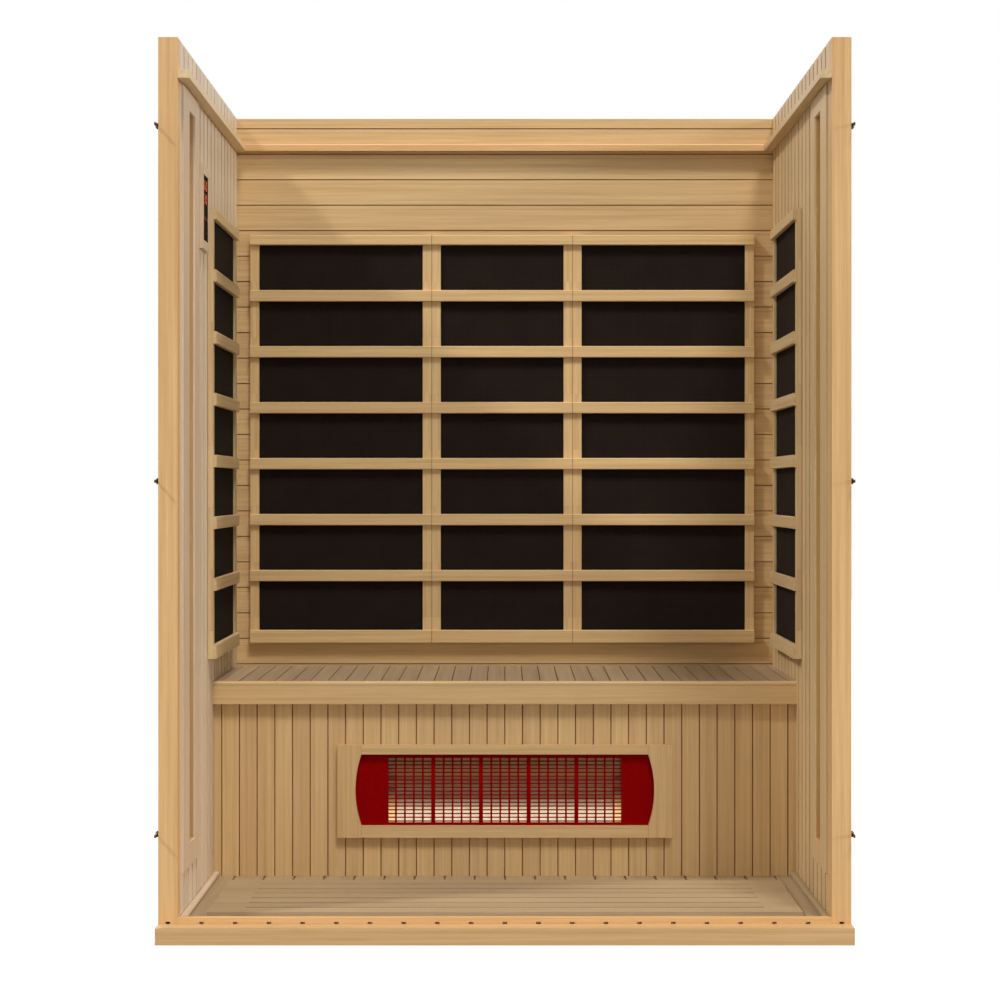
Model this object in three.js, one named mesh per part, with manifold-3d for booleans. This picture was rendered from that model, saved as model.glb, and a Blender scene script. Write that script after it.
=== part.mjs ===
// Infrared sauna cabin, standing open: its front panel and its roof are off.
// Millimetres. X runs to the right, Y to the back and Z up.
// The origin is on the ground, under the middle of the base.

import * as THREE from 'three';
import { mergeVertices } from 'three/addons/utils/BufferGeometryUtils.js';
import Module from 'manifold-3d';

const wasm = await Module();
wasm.setup();

// Driving dimensions: the cabin
const cabinWidth = 1500;
const baseDepth = 1200;
const baseHeight = 37;
const wallTop = 1956;
const frontSetback = 50;
const sideWallThickness = 42;
const backWallThickness = 41;
const fit = 0.3;

// Driving dimensions: timber
const boardThickness = 10;
const wallBoardPitch = 67.3;
const backBoardTopJoint = 1928.7;
const postDepth = 38;
const rimThickness = 18;
const joistWidth = 45;
const joistPitch = 183;
const floorThickness = 12;
const floorBoardPitch = 72.9;
const floorJointsEachSide = 10;
const backWallJoints = 28;

// Driving dimensions: threshold rail, duckboard and ceiling ledges
const railHeight = 13;
const railDepth = 19;
const ventWidth = 10;
const ventHeight = 4.5;
const duckboardHalfWidth = 655;
const duckboardSlatHalfLength = 575;
const duckboardFrontGap = 75;
const duckboardSlats = 7;
const duckboardSlatPitch = 61;
const duckboardSlatGap = 7;
const duckboardThickness = 12;
const ledgeWidth = 25;
const ledgeBottom = 1868;
const ledgeTop = 1886;
const ledgeChamfer = 3;

// Driving dimensions: side windows, measured back from the wall's front edge
const windowStart = 159;
const windowEnd = 252;
const windowBottom = 187;
const windowTop = 1823;
const windowTrimStart = 64;
const windowTrimEnd = 315;
const windowTrimBottom = 136;
const windowTrimTop = 1866;
const casingThickness = 4;
const linerThickness = 8;
const glassThickness = 6;

// Driving dimensions: carbon heaters behind slatted guards
const wideHeater = 478;
const narrowHeater = 371;
const heaterRowOffset = -7;
const sideHeaterStart = 510;
const guardBottom = 573;
const guardTop = 1647;
const stileWidth = 23.5;
const stileDepth = 12.6;
const slatDepth = 8;
const slatLap = 2;
const slatChamfer = 1.5;
const topSlat = 26;
const middleSlat = 29.5;
const bottomSlat = 34;
const middleSlats = 6;
const firstMiddleSlatDrop = 145;
const middleSlatPitch = 147.4;
const heaterPanelDepth = 7;
const heaterPanelInset = 2;

// Driving dimensions: bench
const benchFront = 51;
const benchTopHeight = 512;
const benchTopThickness = 20;
const benchBoardPitch = 43;
const benchJoints = 33;
const fasciaThickness = 18;
const fasciaHeight = 55;
const fasciaRounding = 5;
const kickFront = 70;
const kickThickness = 12;
const cleatWidth = 27;
const cleatHeight = 40;
const cleatStart = 85;
const cleatEnd = 555;

// Driving dimensions: quartz heater in the kick panel
const quartzCentre = 248;
const quartzTrimWidth = 812;
const quartzTrimBottom = 132.5;
const quartzTrimTop = 357.5;
const quartzTrimThickness = 13.7;
const quartzOpeningHeight = 173;
const quartzCornerWidth = 696;
const quartzEndBow = 14.5;
const facePlateThickness = 3;
const grilleWindowWidth = 565;
const grilleWindowHeight = 161;
const grilleThickness = 2;
const grilleBorder = 3;
const grilleBays = 5;
const grilleBayPitch = 116;
const grilleColumns = 5;
const grilleColumnPitch = 21.8;
const grilleRows = 10;
const grilleWire = 4.2;
const grilleDivider = 11;
const housingHalfWidth = 295;
const housingWall = 1.5;
const reflectorDepth = 58;
const reflectorSheet = 1.5;
const reflectorSteps = 12;
const tubeSpacing = 27;
const tubeSetback = 27;
const tubeRadius = 5;
const tubeCapRadius = 8;
const tubeCapLength = 28;

// Driving dimensions: control on the left wall
const bezelStart = 355;
const bezelWidth = 125;
const bezelBottom = 1537;
const bezelTop = 1732;
const bezelThickness = 8;
const faceWidth = 85;
const faceHeight = 153;
const faceRecess = 1.5;
const buttonRadius = 8;
const buttonThickness = 5;
const buttonProud = 1;
const buttonSpacing = 36;
const buttonRows = [-24, -56];

// Driving dimensions: latches on the outer faces
const latchHeights = { top: 1766, middle: 995, bottom: 229 };
const latchSetback = 19;
const hookNear = 2.6;
const hookFar = 5.6;
const hookEyeRadius = 7;
const hookArmHalfWidth = 3.5;
const hookReach = 36;
const hookNotchReach = 30;
const hookNotchRadius = 3;
const pivotRadius = 3;
const pivotPlay = 0.4;

// Places worked out from the driving dimensions
const halfWidth = cabinWidth / 2;
const innerHalfWidth = halfWidth - sideWallThickness;
const baseFront = -baseDepth / 2;
const baseBack = baseDepth / 2;
const wallFront = baseFront + frontSetback;
const backInner = baseBack - backWallThickness;
const wallFoot = baseHeight + fit;
const betweenWalls = innerHalfWidth - fit;
const backOfRoom = backInner - fit;

// Joints between boards, as an outline of (across, deep) points cut into the face
const wallJoint = [[-10, 0], [-10, 1.2], [0, 1.2], [0, 5], [2.6, 5], [2.6, 0]];
const benchJoint = [[-1.5, 0], [0, 3], [1.5, 0]];
const floorJoint = [[-3, 0], [0, 4], [3, 0]];

// Solids: blocks, and profiles drawn on one of the three main planes
const arcSteps = 7;
const axisX = new THREE.Vector3(1, 0, 0);
const axisY = new THREE.Vector3(0, 1, 0);
const axisZ = new THREE.Vector3(0, 0, 1);
const seenFromFront = new THREE.Matrix4().makeBasis(axisX, axisZ, axisY.clone().negate());
const seenFromSide = new THREE.Matrix4().makeBasis(axisY, axisZ, axisX);

function block(x0, x1, y0, y1, z0, z1) {
  const geometry = new THREE.BoxGeometry(Math.abs(x1 - x0), y1 - y0, z1 - z0);
  return geometry.translate((x0 + x1) / 2, (y0 + y1) / 2, (z0 + z1) / 2);
}

function outline(points) {
  return new THREE.Shape(points.map(([u, v]) => new THREE.Vector2(u, v)));
}

function extrude(shape, depth) {
  return new THREE.ExtrudeGeometry(shape, { depth, bevelEnabled: false, curveSegments: arcSteps });
}

// A plan in (x, y), raised from z0 to z1
function plan(shape, z0, z1) {
  return extrude(shape, z1 - z0).translate(0, 0, z0);
}

// A front elevation in (x, z), between yFront and yBack
function elevation(shape, yFront, yBack) {
  return extrude(shape, yBack - yFront).translate(0, 0, -yBack).applyMatrix4(seenFromFront);
}

// A cross-section in (y, z), between x0 and x1
function crossSection(shape, x0, x1) {
  const low = Math.min(x0, x1);
  return extrude(shape, Math.abs(x1 - x0)).translate(0, 0, low).applyMatrix4(seenFromSide);
}

// A turned piece: (radius, height) points from foot to tip, its axis along X or against it
function turned(points, segments, side) {
  const profile = points.map(([radius, height]) => new THREE.Vector2(radius, height));
  return new THREE.LatheGeometry(profile, segments).rotateZ(-side * Math.PI / 2);
}

// Joins and cuts
function toSolid(geometry) {
  const bare = geometry.clone();
  bare.deleteAttribute('normal');
  bare.deleteAttribute('uv');
  const merged = mergeVertices(bare, 1e-4);
  const vertProperties = new Float32Array(merged.attributes.position.array);
  const triVerts = new Uint32Array(merged.index.array);
  return new wasm.Manifold(new wasm.Mesh({ numProp: 3, vertProperties, triVerts }));
}

function toGeometry(solid) {
  const { vertProperties, triVerts } = solid.getMesh();
  const indexed = new THREE.BufferGeometry();
  indexed.setAttribute('position', new THREE.BufferAttribute(vertProperties, 3));
  indexed.setIndex(new THREE.BufferAttribute(triVerts, 1));
  const flat = indexed.toNonIndexed();
  flat.computeVertexNormals();
  return flat;
}

function join(...geometries) {
  const solids = geometries.map(toSolid);
  return toGeometry(solids.reduce((whole, solid) => whole.add(solid)));
}

function cut(body, ...tools) {
  const solids = tools.map(toSolid);
  return toGeometry(solids.reduce((rest, tool) => rest.subtract(tool), toSolid(body)));
}

// Finishes
const hemlock = () => new THREE.MeshStandardMaterial({ color: 0xd0a571, roughness: 0.6 });
const paleHemlock = () => new THREE.MeshStandardMaterial({ color: 0xd9b788, roughness: 0.65 });
const carbonMesh = () => new THREE.MeshStandardMaterial({ color: 0x241c19, roughness: 0.8 });
const clearGlass = () => new THREE.MeshStandardMaterial({ color: 0xb9c4bf, roughness: 0.05 });
const redEnamel = () => new THREE.MeshStandardMaterial({ color: 0x820006, roughness: 0.35 });
const polishedSteel = () =>
  new THREE.MeshStandardMaterial({ color: 0xd5d3cf, roughness: 0.15, metalness: 1 });
const galvanised = () =>
  new THREE.MeshStandardMaterial({ color: 0x9a9c9d, roughness: 0.45, metalness: 1 });
const quartz = () => new THREE.MeshStandardMaterial({ color: 0x9c3a30, roughness: 0.1 });
const blackPlastic = () => new THREE.MeshStandardMaterial({ color: 0x15110f, roughness: 0.3 });
const darkBronze = () =>
  new THREE.MeshStandardMaterial({ color: 0x43361f, roughness: 0.4, metalness: 1 });

function piece(name, geometry, material) {
  const mesh = new THREE.Mesh(geometry, material);
  mesh.name = name;
  return mesh;
}

// Places from first to last, a pitch apart
function evenly(first, last, pitch) {
  const count = Math.floor((last - first) / pitch + 1e-6) + 1;
  return Array.from({ length: count }, (_, i) => first + i * pitch);
}

// A run of boards side by side, as (across, through) points; the jointed face lies at "face"
function boards(across0, across1, back, face, joints, joint) {
  const inwards = Math.sign(back - face);
  const points = [[across0, back], [across0, face]];
  for (const place of joints) {
    for (const [across, deep] of joint) {
      points.push([place + across, face + inwards * deep]);
    }
  }
  points.push([across1, face], [across1, back]);
  return points;
}

const swapped = (points) => points.map(([u, v]) => [v, u]);

// Base: rim and joists, floor boards, threshold rail and duckboard
function makeBase() {
  const group = new THREE.Group();
  const floorUnderside = baseHeight - floorThickness;
  const frameTop = floorUnderside - fit;

  const rim = cut(
    block(-halfWidth, halfWidth, baseFront, baseBack, 0, frameTop),
    block(
      -halfWidth + rimThickness, halfWidth - rimThickness,
      baseFront + rimThickness, baseBack - rimThickness, -1, frameTop + 1,
    ),
  );
  const sillBack = wallFront - fit;
  const frontSill = block(-halfWidth, halfWidth, baseFront, sillBack, 0, baseHeight);
  const joists = evenly(-3 * joistPitch, 3 * joistPitch, joistPitch).map((x) =>
    block(
      x - joistWidth / 2, x + joistWidth / 2,
      baseFront + rimThickness / 2, baseBack - rimThickness / 2, 0, frameTop,
    ));
  group.add(piece('base_frame', join(rim, frontSill, ...joists), hemlock()));

  const lastJoint = floorJointsEachSide * floorBoardPitch;
  const floor = boards(
    -halfWidth, halfWidth, floorUnderside, baseHeight,
    evenly(-lastJoint, lastJoint, floorBoardPitch), floorJoint,
  );
  group.add(piece('floor_boards', elevation(outline(floor), wallFront, baseBack), paleHemlock()));

  const lastVent = lastJoint - floorBoardPitch;
  const railTop = wallFoot + railHeight;
  const ventTop = wallFoot + ventHeight;
  const vents = evenly(-lastVent, lastVent, floorBoardPitch).flatMap((x) => {
    const near = x - ventWidth / 2;
    const far = x + ventWidth / 2;
    return [[near, wallFoot], [near, ventTop], [far, ventTop], [far, wallFoot]];
  });
  const rail = outline([
    [-betweenWalls, wallFoot], ...vents, [betweenWalls, wallFoot],
    [betweenWalls, railTop], [-betweenWalls, railTop],
  ]);
  group.add(piece('threshold_rail', elevation(rail, wallFront, wallFront + railDepth), hemlock()));

  const front = wallFront + duckboardFrontGap;
  const depth = duckboardSlats * duckboardSlatPitch - duckboardSlatGap;
  const duckboard = outline([
    [-duckboardHalfWidth, front], [duckboardHalfWidth, front],
    [duckboardHalfWidth, front + depth], [-duckboardHalfWidth, front + depth],
  ]);
  for (let i = 1; i < duckboardSlats; i += 1) {
    const y1 = front + i * duckboardSlatPitch;
    const y0 = y1 - duckboardSlatGap;
    const x = duckboardSlatHalfLength;
    duckboard.holes.push(outline([[-x, y0], [x, y0], [x, y1], [-x, y1]]));
  }
  group.add(piece('floor_duckboard', plan(duckboard, wallFoot, wallFoot + duckboardThickness), paleHemlock()));
  return group;
}

// Side wall: posts and core, boards on both faces, window and ceiling ledge; side is -1 left, 1 right
function makeSideWall(name, side) {
  const group = new THREE.Group();
  const inner = side * innerHalfWidth;
  const outer = side * halfWidth;
  const coreInner = side * (innerHalfWidth + boardThickness + fit);
  const coreOuter = side * (halfWidth - boardThickness - fit);
  const boardsFront = wallFront + postDepth + fit;
  const boardsBack = backInner - fit;

  const daylight = [
    wallFront + windowStart, wallFront + windowEnd, windowBottom, windowTop,
  ];
  const grown = (by) => [daylight[0] - by, daylight[1] + by, daylight[2] - by, daylight[3] + by];
  const throughWall = (by) => block(inner - side * 50, outer + side * 50, ...grown(by));

  const core = outline([
    [inner, wallFront], [outer, wallFront], [outer, boardsFront - fit], [coreOuter, boardsFront - fit],
    [coreOuter, boardsBack + fit], [outer, boardsBack + fit], [outer, baseBack], [inner, baseBack],
    [inner, boardsBack + fit], [coreInner, boardsBack + fit], [coreInner, boardsFront - fit],
    [inner, boardsFront - fit],
  ]);
  const linerHole = throughWall(linerThickness + fit);
  const postVentMiddle = side * floorJointsEachSide * floorBoardPitch;
  const postVent = block(
    postVentMiddle - ventWidth / 2, postVentMiddle + ventWidth / 2,
    wallFront - fit, wallFront + railDepth, wallFoot - fit, wallFoot + ventHeight,
  );
  group.add(piece(
    `${name}_wall_core`, cut(plan(core, wallFoot, wallTop), linerHole, postVent), hemlock(),
  ));

  const firstJoint = boardsFront + wallBoardPitch;
  const joints = evenly(firstJoint, boardsBack - wallBoardPitch / 2, wallBoardPitch);
  const innerBack = inner + side * boardThickness;
  const innerRun = swapped(boards(boardsFront, boardsBack, innerBack, inner, joints, wallJoint));
  const innerBoards = cut(plan(outline(innerRun), wallFoot, wallTop), linerHole);
  group.add(piece(`${name}_wall_inner_boards`, innerBoards, paleHemlock()));

  const outerBack = outer - side * boardThickness;
  const outerRun = swapped(boards(boardsFront, boardsBack, outerBack, outer, joints, wallJoint));
  const outerBoards = cut(plan(outline(outerRun), wallFoot, wallTop), throughWall(0));
  group.add(piece(`${name}_wall_outer_boards`, outerBoards, hemlock()));

  const casingBack = inner - side * fit;
  const casingFace = casingBack - side * casingThickness;
  const glassOuter = outerBack - side * fit;
  const glassInner = glassOuter - side * glassThickness;
  const casing = block(
    casingFace, casingBack, wallFront + windowTrimStart, wallFront + windowTrimEnd,
    windowTrimBottom, windowTrimTop,
  );
  const liner = block(casingFace, glassInner - side * fit, ...grown(linerThickness));
  group.add(piece(`${name}_window_trim`, cut(join(casing, liner), throughWall(0)), paleHemlock()));
  group.add(piece(
    `${name}_window_glass`, block(glassInner, glassOuter, ...grown(linerThickness)), clearGlass(),
  ));

  const ledgeBack = inner - side * fit;
  const ledgeFace = ledgeBack - side * ledgeWidth;
  const chamfer = side * ledgeChamfer;
  const ledge = outline([
    [ledgeBack, ledgeBottom], [ledgeFace, ledgeBottom], [ledgeFace, ledgeTop - ledgeChamfer],
    [ledgeFace + chamfer, ledgeTop], [ledgeBack, ledgeTop],
  ]);
  group.add(piece(`${name}_ceiling_ledge`, elevation(ledge, wallFront, backOfRoom), hemlock()));
  return group;
}

// Back wall: core, boards on both faces and the ledge between the side ledges
function makeBackWall() {
  const group = new THREE.Group();
  const innerBack = backInner + boardThickness;
  const outerBack = baseBack - boardThickness;
  const lowestJoint = backBoardTopJoint - (backWallJoints - 1) * wallBoardPitch;
  const joints = evenly(lowestJoint, backBoardTopJoint, wallBoardPitch);

  group.add(piece(
    'back_wall_core',
    block(-betweenWalls, betweenWalls, innerBack + fit, outerBack - fit, wallFoot, wallTop),
    hemlock(),
  ));
  const innerRun = swapped(boards(wallFoot, wallTop, innerBack, backInner, joints, wallJoint));
  const innerBoards = crossSection(outline(innerRun), -betweenWalls, betweenWalls);
  group.add(piece('back_wall_inner_boards', innerBoards, hemlock()));
  const outerRun = swapped(boards(wallFoot, wallTop, outerBack, baseBack, joints, wallJoint));
  const outerBoards = crossSection(outline(outerRun), -betweenWalls, betweenWalls);
  group.add(piece('back_wall_outer_boards', outerBoards, hemlock()));

  const ledgeFace = backOfRoom - ledgeWidth;
  const ledge = outline([
    [backOfRoom, ledgeBottom], [ledgeFace, ledgeBottom], [ledgeFace, ledgeTop - ledgeChamfer],
    [ledgeFace + ledgeChamfer, ledgeTop], [backOfRoom, ledgeTop],
  ]);
  const halfLength = innerHalfWidth - ledgeWidth - 2 * fit;
  group.add(piece('back_ceiling_ledge', crossSection(ledge, -halfLength, halfLength), hemlock()));
  return group;
}

// Heights of the guard's slats, from the top one down
function slatHeights() {
  const heights = [[guardTop - topSlat, guardTop]];
  for (let i = 0; i < middleSlats; i += 1) {
    const top = guardTop - firstMiddleSlatDrop - i * middleSlatPitch;
    heights.push([top - middleSlat, top]);
  }
  heights.push([guardBottom, guardBottom + bottomSlat]);
  return heights;
}

// Carbon heater: a flat black panel behind a guard of eight slats lapped on two stiles.
// It is made against a wall at y = 0, facing -Y, with its left edge at x = 0.
function makeHeater(name, width) {
  const group = new THREE.Group();
  const face = -fit;
  const stileFace = face - stileDepth;
  const slatBack = stileFace + slatLap;
  const slatFace = stileFace - slatDepth;

  const stiles = [0, width - stileWidth].map((x) =>
    block(x, x + stileWidth, stileFace, face, guardBottom, guardTop));
  const slats = slatHeights().map(([low, high]) => {
    const profile = outline([
      [slatBack, low], [slatFace + slatChamfer, low], [slatFace, low + slatChamfer],
      [slatFace, high - slatChamfer], [slatFace + slatChamfer, high], [slatBack, high],
    ]);
    return crossSection(profile, 0, width);
  });
  group.add(piece(`${name}_heater_guard`, join(...stiles, ...slats), hemlock()));

  const panel = block(
    stileWidth + fit, width - stileWidth - fit, face - heaterPanelDepth, face,
    guardBottom + heaterPanelInset, guardTop - heaterPanelInset,
  );
  group.add(piece(`${name}_heater_panel`, panel, carbonMesh()));
  return group;
}

function makeHeaters() {
  const group = new THREE.Group();
  const row = [['back_left', wideHeater], ['back_middle', narrowHeater], ['back_right', wideHeater]];
  let x = heaterRowOffset - (2 * wideHeater + narrowHeater) / 2 - fit;
  for (const [name, width] of row) {
    const heater = makeHeater(name, width);
    heater.position.set(x, backInner, 0);
    group.add(heater);
    x += width + fit;
  }

  const left = makeHeater('left', wideHeater);
  left.position.set(-innerHalfWidth, wallFront + sideHeaterStart, 0);
  left.rotation.z = Math.PI / 2;
  const right = makeHeater('right', wideHeater);
  right.position.set(innerHalfWidth, wallFront + sideHeaterStart + wideHeater, 0);
  right.rotation.z = -Math.PI / 2;
  group.add(left, right);
  return group;
}

// Bench: boarded top on wall cleats, fascia along its front edge and a boarded kick panel below
function makeBench() {
  const group = new THREE.Group();
  const topUnderside = benchTopHeight - benchTopThickness;
  const topFront = benchFront + fasciaThickness + fit;
  const halfRun = (benchJoints - 1) / 2 * benchBoardPitch;
  const joints = evenly(-halfRun, halfRun, benchBoardPitch);

  const top = boards(-betweenWalls, betweenWalls, topUnderside, benchTopHeight, joints, benchJoint);
  group.add(piece('bench_top', elevation(outline(top), topFront, backOfRoom), paleHemlock()));

  const fasciaBack = benchFront + fasciaThickness;
  const fasciaBottom = benchTopHeight - fasciaHeight;
  const fascia = new THREE.Shape();
  fascia.moveTo(fasciaBack, fasciaBottom);
  fascia.lineTo(fasciaBack, benchTopHeight);
  fascia.lineTo(benchFront + fasciaRounding, benchTopHeight);
  fascia.absarc(
    benchFront + fasciaRounding, benchTopHeight - fasciaRounding, fasciaRounding,
    Math.PI / 2, Math.PI, false,
  );
  fascia.lineTo(benchFront, fasciaBottom);
  group.add(piece('bench_fascia', crossSection(fascia, -betweenWalls, betweenWalls), hemlock()));

  const kickBack = kickFront + kickThickness;
  const kick = boards(-betweenWalls, betweenWalls, kickBack, kickFront, joints, benchJoint);
  const quartzHole = block(
    -housingHalfWidth - 3, housingHalfWidth + 3, kickFront - 10, kickBack + 10,
    quartzCentre - grilleWindowHeight / 2 - grilleBorder - 1,
    quartzCentre + grilleWindowHeight / 2 + grilleBorder + 1,
  );
  const kickPanel = cut(plan(outline(kick), wallFoot, topUnderside - fit), quartzHole);
  group.add(piece('bench_kick_panel', kickPanel, hemlock()));

  for (const [name, side] of [['left', -1], ['right', 1]]) {
    const cleat = block(
      side * betweenWalls, side * (betweenWalls - cleatWidth), cleatStart, cleatEnd,
      topUnderside - fit - cleatHeight, topUnderside - fit,
    );
    group.add(piece(`bench_${name}_cleat`, cleat, hemlock()));
  }
  return group;
}

// Outline of the quartz heater's face: straight top and bottom, bowed ends; inset shrinks it all round
function bowedFace(inset) {
  const halfHeight = quartzOpeningHeight / 2 - inset;
  const corner = quartzCornerWidth / 2 - inset;
  const radius = (halfHeight ** 2 + quartzEndBow ** 2) / (2 * quartzEndBow);
  const sweep = Math.asin(halfHeight / radius);
  const arcCentre = corner + quartzEndBow - radius;
  const face = new THREE.Shape();
  face.absarc(arcCentre, quartzCentre, radius, -sweep, sweep, false);
  face.absarc(-arcCentre, quartzCentre, radius, Math.PI - sweep, Math.PI + sweep, false);
  return face;
}

function rectangle(x0, x1, z0, z1) {
  return outline([[x0, z0], [x1, z0], [x1, z1], [x0, z1]]);
}

// Wire grille: a flat frame with uprights, wider dividers between its bays, and rows of cross wires
function makeGrille(yFront) {
  const yBack = yFront + grilleThickness;
  const halfWindow = grilleWindowWidth / 2;
  const halfWindowHeight = grilleWindowHeight / 2;
  const halfWidth = halfWindow + grilleBorder;
  const halfHeight = halfWindowHeight + grilleBorder;
  const frame = rectangle(-halfWidth, halfWidth, quartzCentre - halfHeight, quartzCentre + halfHeight);
  frame.holes.push(rectangle(
    -halfWindow, halfWindow, quartzCentre - halfWindowHeight, quartzCentre + halfWindowHeight,
  ));
  const upright = (x, width) => block(
    x - width / 2, x + width / 2, yFront, yBack,
    quartzCentre - halfHeight, quartzCentre + halfHeight,
  );

  const bars = [elevation(frame, yFront, yBack)];
  for (let bay = 0; bay < grilleBays; bay += 1) {
    const bayCentre = (bay - (grilleBays - 1) / 2) * grilleBayPitch;
    for (let column = 1; column < grilleColumns; column += 1) {
      bars.push(upright(bayCentre + (column - grilleColumns / 2) * grilleColumnPitch, grilleWire));
    }
    if (bay > 0) {
      bars.push(upright(bayCentre - grilleBayPitch / 2, grilleDivider));
    }
  }
  const rowPitch = grilleWindowHeight / grilleRows;
  for (let row = 1; row < grilleRows; row += 1) {
    const z = quartzCentre - halfWindowHeight + row * rowPitch;
    bars.push(block(-halfWidth, halfWidth, yFront, yBack, z - grilleWire / 2, z + grilleWire / 2));
  }
  return join(...bars);
}

// Quartz heater: wooden trim, red face plate and grille; behind them housing, reflector and two tubes
function makeQuartzHeater() {
  const group = new THREE.Group();
  const trimFront = kickFront - fit - quartzTrimThickness;
  const plateFront = kickFront - fit - facePlateThickness;
  const grilleFront = kickFront;
  const housingFront = grilleFront + grilleThickness + fit;
  const halfTrim = quartzTrimWidth / 2;
  const halfWindow = grilleWindowWidth / 2;
  const halfWindowHeight = grilleWindowHeight / 2;

  const trim = rectangle(-halfTrim, halfTrim, quartzTrimBottom, quartzTrimTop);
  trim.holes.push(bowedFace(0));
  group.add(piece('quartz_heater_trim', elevation(trim, trimFront, kickFront - fit), hemlock()));

  const plate = bowedFace(fit);
  plate.holes.push(rectangle(
    -halfWindow, halfWindow, quartzCentre - halfWindowHeight, quartzCentre + halfWindowHeight,
  ));
  group.add(piece('quartz_heater_face_plate', elevation(plate, plateFront, kickFront - fit), redEnamel()));
  group.add(piece('quartz_heater_grille', makeGrille(grilleFront), redEnamel()));

  const housingHalfHeight = halfWindowHeight + grilleBorder;
  const housingInside = housingFront + reflectorDepth + reflectorSheet + fit;
  const housing = cut(
    block(
      -housingHalfWidth, housingHalfWidth, housingFront, housingInside + housingWall,
      quartzCentre - housingHalfHeight, quartzCentre + housingHalfHeight,
    ),
    block(
      -housingHalfWidth + housingWall, housingHalfWidth - housingWall, housingFront - 1, housingInside,
      quartzCentre - housingHalfHeight + housingWall, quartzCentre + housingHalfHeight - housingWall,
    ),
  );
  group.add(piece('quartz_heater_housing', housing, galvanised()));

  const inside = housingHalfWidth - housingWall - fit;
  const outerHalf = housingHalfHeight - housingWall - fit;
  const innerHalf = outerHalf - reflectorSheet;
  const trough = [];
  for (let i = 0; i <= reflectorSteps; i += 1) {
    const t = 2 * i / reflectorSteps - 1;
    const deep = (reflectorDepth + reflectorSheet) * (1 - t * t);
    trough.push([housingFront + deep, quartzCentre + outerHalf * t]);
  }
  for (let i = reflectorSteps; i >= 0; i -= 1) {
    const t = 2 * i / reflectorSteps - 1;
    const deep = reflectorDepth * (1 - t * t);
    trough.push([housingFront + deep, quartzCentre + innerHalf * t]);
  }
  const reflector = crossSection(outline(trough), -inside + tubeCapLength, inside - tubeCapLength);
  group.add(piece('quartz_heater_reflector', reflector, polishedSteel()));

  const tube = [
    [0, -inside], [tubeCapRadius, -inside], [tubeCapRadius, -inside + tubeCapLength],
    [tubeRadius, -inside + tubeCapLength], [tubeRadius, inside - tubeCapLength],
    [tubeCapRadius, inside - tubeCapLength], [tubeCapRadius, inside], [0, inside],
  ];
  for (const [name, side] of [['upper', 1], ['lower', -1]]) {
    const mesh = piece(`quartz_heater_${name}_tube`, turned(tube, 12, 1), quartz());
    mesh.position.set(0, housingFront + tubeSetback, quartzCentre + side * tubeSpacing / 2);
    group.add(mesh);
  }
  return group;
}

// Control: wooden bezel on the left wall, black face with four push buttons below its display
function makeControl() {
  const group = new THREE.Group();
  const wall = -innerHalfWidth + fit;
  const bezelFace = wall + bezelThickness;
  const face = bezelFace - faceRecess;
  const y0 = wallFront + bezelStart;
  const centreY = y0 + bezelWidth / 2;
  const centreZ = (bezelBottom + bezelTop) / 2;

  const opening = block(
    wall - 1, bezelFace + 1, centreY - faceWidth / 2, centreY + faceWidth / 2,
    centreZ - faceHeight / 2, centreZ + faceHeight / 2,
  );
  const bezel = cut(block(wall, bezelFace, y0, y0 + bezelWidth, bezelBottom, bezelTop), opening);
  group.add(piece('control_bezel', bezel, hemlock()));

  const top = face + buttonProud;
  const foot = top - buttonThickness;
  const button = [
    [0, 0], [buttonRadius, 0], [buttonRadius, buttonThickness - 1], [buttonRadius - 1, buttonThickness],
    [0, buttonThickness],
  ];
  const names = [['power_button', 'light_button'], ['minus_button', 'plus_button']];
  const holes = [];
  buttonRows.forEach((rise, row) => {
    names[row].forEach((name, column) => {
      const y = centreY + (column - 0.5) * buttonSpacing;
      const mesh = piece(name, turned(button, 12, 1), blackPlastic());
      mesh.position.set(foot, y, centreZ + rise);
      group.add(mesh);
      const hole = [[0, -3], [buttonRadius + fit, -3], [buttonRadius + fit, 12], [0, 12]];
      holes.push(turned(hole, 12, 1).translate(foot, y, centreZ + rise));
    });
  });
  const plate = block(
    wall, face, centreY - faceWidth / 2 + fit, centreY + faceWidth / 2 - fit,
    centreZ - faceHeight / 2 + fit, centreZ + faceHeight / 2 - fit,
  );
  group.add(piece('control_face', cut(plate, ...holes), blackPlastic()));
  return group;
}

// Outline of a swing hook in (y, z), its eye at the origin and its arm towards -Y
function hookOutline() {
  const spread = Math.asin(hookArmHalfWidth / hookEyeRadius);
  const hook = new THREE.Shape();
  hook.absarc(0, 0, hookEyeRadius, Math.PI - spread, -Math.PI + spread, true);
  hook.absarc(-hookNotchReach, -hookArmHalfWidth, hookNotchRadius, 0, Math.PI, false);
  hook.absarc(-hookReach, 0, hookArmHalfWidth, -Math.PI / 2, Math.PI / 2, true);
  const eye = new THREE.Path();
  eye.absarc(0, 0, pivotRadius + pivotPlay, 0, 2 * Math.PI, false);
  hook.holes.push(eye);
  return hook;
}

// Latches: a round pivot base on the front post, and a flat hook that swings on it
function makeLatches() {
  const group = new THREE.Group();
  const pivot = [
    [0, fit], [9, fit], [9, 1.3], [8, 2.3], [pivotRadius, 2.3], [pivotRadius, 5.9],
    [5, 5.9], [5, 7.2], [3.4, 8.3], [0, 8.3],
  ];
  for (const [sideName, side] of [['left', -1], ['right', 1]]) {
    for (const [level, height] of Object.entries(latchHeights)) {
      const latch = new THREE.Group();
      latch.position.set(side * halfWidth, wallFront + latchSetback, height);
      const name = `${sideName}_${level}_latch`;
      latch.add(piece(`${name}_base`, turned(pivot, 10, side), darkBronze()));
      const hook = crossSection(hookOutline(), side * hookNear, side * hookFar);
      latch.add(piece(`${name}_hook`, hook, darkBronze()));
      group.add(latch);
    }
  }
  return group;
}

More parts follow.
